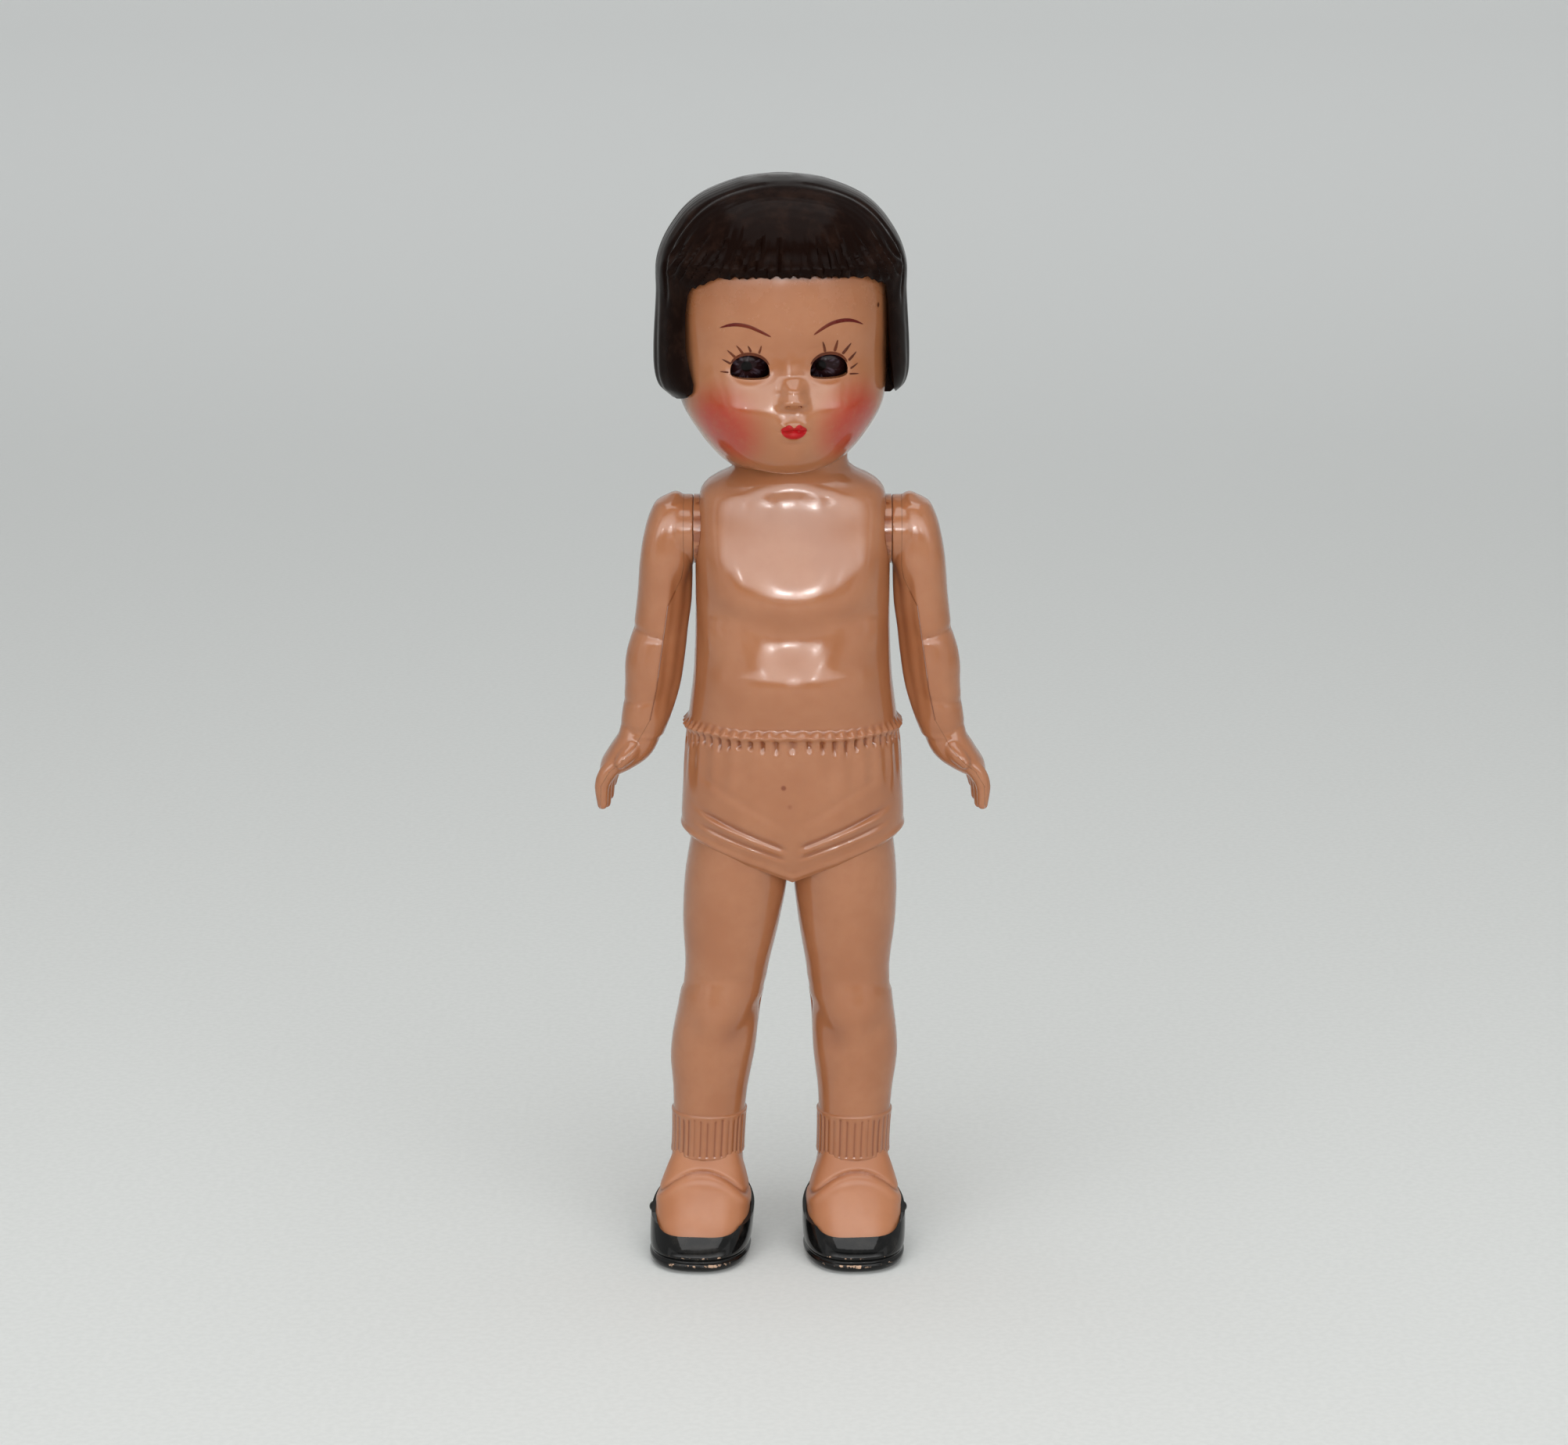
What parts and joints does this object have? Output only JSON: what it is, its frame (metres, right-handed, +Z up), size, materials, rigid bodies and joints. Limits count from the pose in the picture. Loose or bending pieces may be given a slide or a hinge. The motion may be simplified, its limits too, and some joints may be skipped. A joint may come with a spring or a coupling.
{
  "type": "celluloid doll",
  "caption": "Standing moulded doll with bobbed hair, a frilled brief, ribbed socks and low shoes. Its strung arms swing at the shoulders and its weighted eyes close when it lies down.",
  "frame": {"origin": "bottom centre of the bounding box, on the floor under the shoes", "axes": "+Z up along the doll, -Y the way it faces, +X to the doll's left"},
  "size_m": [0.0648, 0.0386, 0.1785],
  "materials": {
    "front_shell": "flesh celluloid with painted hair, face and shoes",
    "back_shell": "flesh celluloid with painted hair and shoes",
    "left_arm_outer": "flesh celluloid",
    "left_arm_inner": "flesh celluloid",
    "right_arm_outer": "flesh celluloid",
    "right_arm_inner": "flesh celluloid",
    "arm_elastic": "plain round elastic",
    "left_eye": "dark brown iris, polished",
    "right_eye": "dark brown iris, polished",
    "eye_axle": "bright steel wire",
    "eye_weight": "dull lead"
  },
  "bodies": {
    "body": {"front_shell": "front_shell", "back_shell": "back_shell", "arm_elastic": "arm_elastic"},
    "left_arm": {"left_arm_outer": "left_arm_outer", "left_arm_inner": "left_arm_inner"},
    "right_arm": {"right_arm_outer": "right_arm_outer", "right_arm_inner": "right_arm_inner"},
    "eyes": {"left_eye": "left_eye", "right_eye": "right_eye", "eye_axle": "eye_axle", "eye_weight": "eye_weight"}
  },
  "joints": [
    {"name": "left_arm_swing", "type": "hinge", "parent": "body", "child": "left_arm", "pos_m": [0.016, 0, 0.1213], "axis": [-1, 0, 0], "range_deg": [-145, 145]},
    {"name": "right_arm_swing", "type": "hinge", "parent": "body", "child": "right_arm", "pos_m": [-0.016, 0, 0.1213], "axis": [-1, 0, 0], "range_deg": [-145, 145]},
    {"name": "eyes_sleep", "type": "hinge", "parent": "body", "child": "eyes", "pos_m": [-0.001, -0.01012, 0.1506], "axis": [0.9969, 0.0785, 0], "range_deg": [0, 65]}
  ]
}
